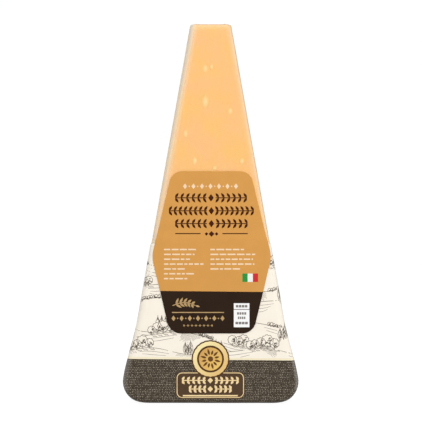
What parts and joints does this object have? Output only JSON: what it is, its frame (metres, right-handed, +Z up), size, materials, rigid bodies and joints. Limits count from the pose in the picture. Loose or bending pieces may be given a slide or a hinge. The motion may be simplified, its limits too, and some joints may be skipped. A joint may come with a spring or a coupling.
{
  "type": "film-packed hard cheese wedge",
  "caption": "Upright wedge of aged hard cheese sealed in clear film, with a printed wrap round its lower part and a shaped label on the front",
  "frame": {"origin": "middle of the base, on the surface the pack stands on", "axes": "+Z up, from the broad base to the narrow cut end; -Y out of the labelled front face; +X to the right seen from the front"},
  "size_m": [0.0732, 0.0263, 0.158],
  "materials": {
    "cheese_in_film": "clear glossy film drawn tight over pale golden granular cheese with a few white crystals",
    "printed_film": "satin opaque film printed cream with fine grey line art above a charcoal band with a pale dotted pattern",
    "label_paper": "smooth coated paper, golden orange above and dark brown below"
  },
  "bodies": {
    "root": {"cheese_wedge": "cheese_in_film", "printed_wrap": "printed_film", "front_label": "label_paper"}
  },
  "joints": []
}
